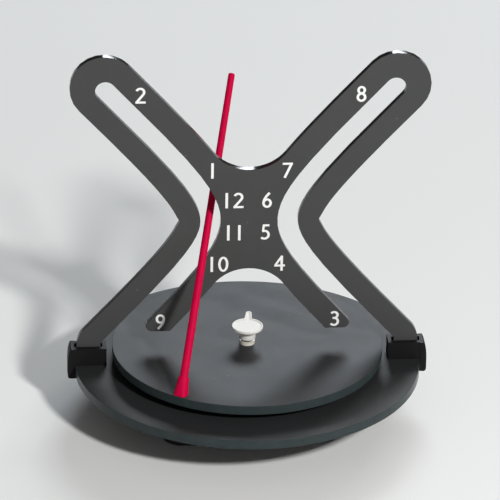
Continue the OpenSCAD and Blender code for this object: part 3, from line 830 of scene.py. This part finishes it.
class CLOCK_OT_knob(Operator):
    """Make the white setting knob with its lever"""
    bl_idname = "clock.knob"
    bl_label = "Setting knob"

    def execute(self, context):
        sizes, colours = context.scene.clock_sizes, context.scene.clock_colours
        white = moulded_finish("knob_white", colours.knob, rough=0.5, grain_scale=2600.0, grain_depth=8e-6,
                               sheen=0.25, inside=0.6)
        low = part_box("setting_knob")[0]
        points = [(math.hypot(p.x, p.y), p.z) for p in points_of("setting_knob")]
        rim = max(across for across, _ in points)
        foot = [across for across, up in points if up < low.z + WELD]
        bore, hub = min(foot), max(foot)
        roof = max(up for across, up in points if bore - WELD < across < bore + WELD)
        bead = sizes.knob_bead
        top = max(up for across, up in points if across > rim - INNER_EDGE * bead)
        sole = low.z + SOLE_LIFT
        under = top - sizes.knob_flange
        dish = top - DISH * bead
        profile = eased([
            (0, roof), (bore, roof), (bore, sole, BORE_EDGE), (hub, sole, SOLE_EDGE),
            (hub, under - FLARE_HIGH, FLARE_LOW_ROUND), (hub + FLARE_WIDE, under, FLARE_TOP_ROUND),
            (rim - bead, under, FLANGE_EDGE), (rim, under + FLANGE_EDGE, FLANGE_EDGE),
            (rim, top, OUTER_EDGE * bead), (rim - bead, top, INNER_EDGE * bead),
            (rim - SLOPE_END * bead, dish, SLOPE_FOOT * bead), (0, dish)])
        root, tip = sizes.lever_root / 2, sizes.lever_tip / 2
        spokes = [math.atan2(y, x) for x, y in lever_outline(rim, root, tip, sizes.lever_reach)]

        def outline(radius):
            inset = rim - radius
            if inset > LEVER_COVER * bead:
                return [(radius * math.cos(t), radius * math.sin(t)) for t in spokes]
            return lever_outline(radius, root - inset, tip - inset, sizes.lever_reach - inset)

        bm = turned(profile, len(spokes), Matrix.Rotation(sizes.lever_turn, 4, "Z"), outline=outline)
        seat(add_piece("knob_moulding", bm, [white], sharp=50), "setting_knob")
        return {"FINISHED"}


class CLOCK_OT_case(Operator):
    """Make the movement's case, cover and fixings"""
    bl_idname = "clock.case"
    bl_label = "Movement case"

    def execute(self, context):
        colours = context.scene.clock_colours
        black = moulded_finish("case_black", colours.case, rough=0.5, grain_scale=2200.0, grain_depth=2.5e-5,
                               sheen=0.45)
        rubber = moulded_finish("gasket_rubber", srgb(18, 18, 18), rough=0.75, grain_scale=1800.0,
                                grain_depth=2e-5, sheen=0.3)
        brass = metal_finish("brass_plain", srgb(201, 168, 96), rough=0.26, lines=(1, 1, 1))
        # Each node with its slot, its finish and the easing of its edges in millimetres
        for node, slot, material, width in (
                ("movement_case", "case_black", black, 0.35), ("rear_cover", "case_black", black, 0.2),
                ("case_gasket", "gasket_rubber", rubber, 0.12), ("neck_washer", "brass_plain", brass, 0.08),
                ("neck_nut", "brass_plain", brass, 0.15)):
            bm = copy_of(node)
            ease_edges(bm, width * MM, steps=2)
            seat(add_piece(node + "_dressed", bm, [material]), node)
        return {"FINISHED"}


class CLOCK_OT_works(Operator):
    """Finish the wheels, the motor and the cell inside the case"""
    bl_idname = "clock.works"
    bl_label = "Works"

    def execute(self, context):
        nylon = moulded_finish("wheel_nylon", srgb(226, 222, 208), rough=0.4, grain_scale=2600.0,
                               grain_depth=6e-6, inside=0.1)
        plate = moulded_finish("plate_nylon", srgb(196, 200, 196), rough=0.45, grain_scale=2200.0,
                               grain_depth=8e-6)
        magnet = moulded_finish("magnet_dark", srgb(48, 46, 45), rough=0.55, grain_scale=3000.0,
                                grain_depth=1e-5)
        sleeve = moulded_finish("cell_sleeve", srgb(60, 92, 120), rough=0.32, grain_scale=1500.0,
                                grain_depth=4e-6)
        steel = metal_finish("yoke_steel", srgb(176, 176, 174), rough=0.32, lines=(1, 0.05, 1))
        blued = metal_finish("pinion_steel", srgb(72, 72, 76), rough=0.34, lines=(1, 1, 0.05))
        nickel = metal_finish("contact_nickel", srgb(205, 200, 188), rough=0.24, lines=(1, 1, 0.05))
        copper = winding_finish("coil_copper", srgb(184, 96, 52))
        green = board_finish("board_green", srgb(28, 92, 60))
        finishes = {
            "hour_wheel": nylon, "work_wheel": nylon, "cannon_pinion": blued, "centre_wheel": nylon,
            "third_wheel": nylon, "seconds_wheel": nylon, "fifth_wheel": nylon, "rotor": magnet,
            "middle_plate": plate, "stator": steel, "coil": copper, "circuit_board": green, "crystal": nickel,
            "battery": sleeve, "contact_positive": nickel, "contact_negative": nickel,
        }
        for node, material in finishes.items():
            for slot in frame["nodes"][node].material_slots:
                slot.material = material
        return {"FINISHED"}


def aim(spot, target):
    """The turn that points an object's -Z from one place to another."""
    return (Vector(target) - Vector(spot)).to_track_quat("-Z", "Y")


def add_lamp(name, spot, target, wide, high, power, tint):
    """A soft lamp that shines from a spot to a target."""
    lamp = bpy.data.lights.new(name, "AREA")
    lamp.shape = "RECTANGLE"
    lamp.size, lamp.size_y = wide, high
    lamp.energy = power
    lamp.color = tint
    holder = bpy.data.objects.new(name, lamp)
    holder.location = spot
    holder.rotation_euler = aim(spot, target).to_euler()
    bpy.context.scene.collection.objects.link(holder)


# Camera: width of its sensor in millimetres, nearest and farthest view in metres
SENSOR = 36
CLIP = (0.05, 20)
# Floor, in metres: its reach from the clock, and the gap that keeps it clear of the case's underside
FLOOR_REACH = 3.0
FLOOR_GAP = 0.05 * MM
FLOOR_SQUARES = 8
# Where the lamps point
LIT_SPOT = (0, 0, 0.06)
# Lamps: place, width and height in metres, and tint
LAMPS = {
    "key": ((0.36, 2.0, 1.15), 0.75, 0.5, (0.86, 0.93, 1.0)),
    "wing": ((1.15, 1.85, 1.15), 0.9, 0.45, (1.0, 0.97, 0.93)),
    "front": ((0.474, -0.864, 0.744), 0.11, 0.11, (1.0, 1.0, 1.0)),
}
# Sky: its grey from low to high, how it gives way to the dim part behind the clock, and that part's colour
SKY_GLOW = ((0.08, 0.33), (0.3, 0.14))
SKY_BEHIND = ((0.1, 0.0), (0.6, 1.0))
SKY_DIM = (0.1, 0.1, 0.1)


class CLOCK_OT_stage(Operator):
    """Set the camera, the floor and the studio light"""
    bl_idname = "clock.stage"
    bl_label = "Stage"

    def execute(self, context):
        scene, stage = context.scene, context.scene.clock_stage
        turn, rise = stage.azimuth, stage.elevation
        back = Vector((math.sin(turn) * math.cos(rise), -math.cos(turn) * math.cos(rise), math.sin(rise)))
        right = Vector((math.cos(turn), math.sin(turn), 0))
        up = back.cross(right)
        side = right * math.cos(stage.roll) + up * math.sin(stage.roll)
        head = up * math.cos(stage.roll) - right * math.sin(stage.roll)
        lens = bpy.data.cameras.new("view")
        lens.lens, lens.sensor_width = stage.lens, SENSOR
        lens.clip_start, lens.clip_end = CLIP
        camera = bpy.data.objects.new("view", lens)
        spot = Vector(stage.target) + back * stage.distance
        camera.matrix_world = Matrix((
            (side.x, head.x, back.x, spot.x), (side.y, head.y, back.y, spot.y),
            (side.z, head.z, back.z, spot.z), (0, 0, 0, 1)))
        scene.collection.objects.link(camera)
        scene.camera = camera

        bm = bmesh.new()
        bmesh.ops.create_grid(bm, x_segments=FLOOR_SQUARES, y_segments=FLOOR_SQUARES, size=FLOOR_REACH)
        floor = add_piece("floor", bm, [floor_finish("floor_pale", stage.floor)])
        floor.location.z = cad_box[0].z - FLOOR_GAP

        for name, (lamp_spot, wide, high, tint) in LAMPS.items():
            add_lamp(name + "_lamp", lamp_spot, LIT_SPOT, wide, high, getattr(stage, name), tint)

        world = bpy.data.worlds.new("studio")
        world.use_nodes = True
        world.node_tree.nodes.clear()
        wire = Wire(world.node_tree)
        sight = wire.node("ShaderNodeSeparateXYZ", None, {"Vector": wire.node("ShaderNodeTexCoord")}, "Z")
        glow = ramp(wire, sight, *SKY_GLOW)
        behind = ramp(wire, sight.out("Y"), *SKY_BEHIND)
        shade = blend(wire, behind, glow, SKY_DIM)
        sky = wire.node("ShaderNodeBackground", None, {"Color": shade, "Strength": stage.sky})
        wire.node("ShaderNodeOutputWorld", None, {"Surface": sky})
        scene.world = world
        scene.view_settings.view_transform = "Standard"
        return {"FINISHED"}


class CLOCK_PT_panel(Panel):
    """Sizes, colours and steps of the clock"""
    bl_idname = "CLOCK_PT_panel"
    bl_label = "Desk clock"
    bl_space_type = "VIEW_3D"
    bl_region_type = "UI"
    bl_category = "Desk clock"

    def draw(self, context):
        layout = self.layout
        for title, group in (("Colours", context.scene.clock_colours), ("Sizes", context.scene.clock_sizes),
                             ("Stage", context.scene.clock_stage)):
            box = layout.box()
            box.label(text=title)
            for key in group.bl_rna.properties.keys():
                if key not in ("rna_type", "name"):
                    box.prop(group, key)
        for step in STEPS:
            layout.operator(step.bl_idname)


GROUPS = (ClockColours, ClockSizes, ClockStage)
STEPS = (CLOCK_OT_stage, CLOCK_OT_discs, CLOCK_OT_dial, CLOCK_OT_numbers, CLOCK_OT_clips, CLOCK_OT_pointer,
         CLOCK_OT_knob, CLOCK_OT_case, CLOCK_OT_works)


def register():
    for item in (*GROUPS, *STEPS, CLOCK_PT_panel):
        bpy.utils.register_class(item)
    bpy.types.Scene.clock_colours = PointerProperty(type=ClockColours)
    bpy.types.Scene.clock_sizes = PointerProperty(type=ClockSizes)
    bpy.types.Scene.clock_stage = PointerProperty(type=ClockStage)


def unregister():
    del bpy.types.Scene.clock_stage, bpy.types.Scene.clock_sizes, bpy.types.Scene.clock_colours
    for item in reversed((*GROUPS, *STEPS, CLOCK_PT_panel)):
        bpy.utils.unregister_class(item)


def main():
    register()
    bpy.ops.clock.stage()
    bpy.ops.clock.discs()
    bpy.ops.clock.dial()
    bpy.ops.clock.numbers()
    bpy.ops.clock.clips()
    bpy.ops.clock.pointer()
    bpy.ops.clock.knob()
    bpy.ops.clock.case()
    bpy.ops.clock.works()


if __name__ == "__main__":
    main()
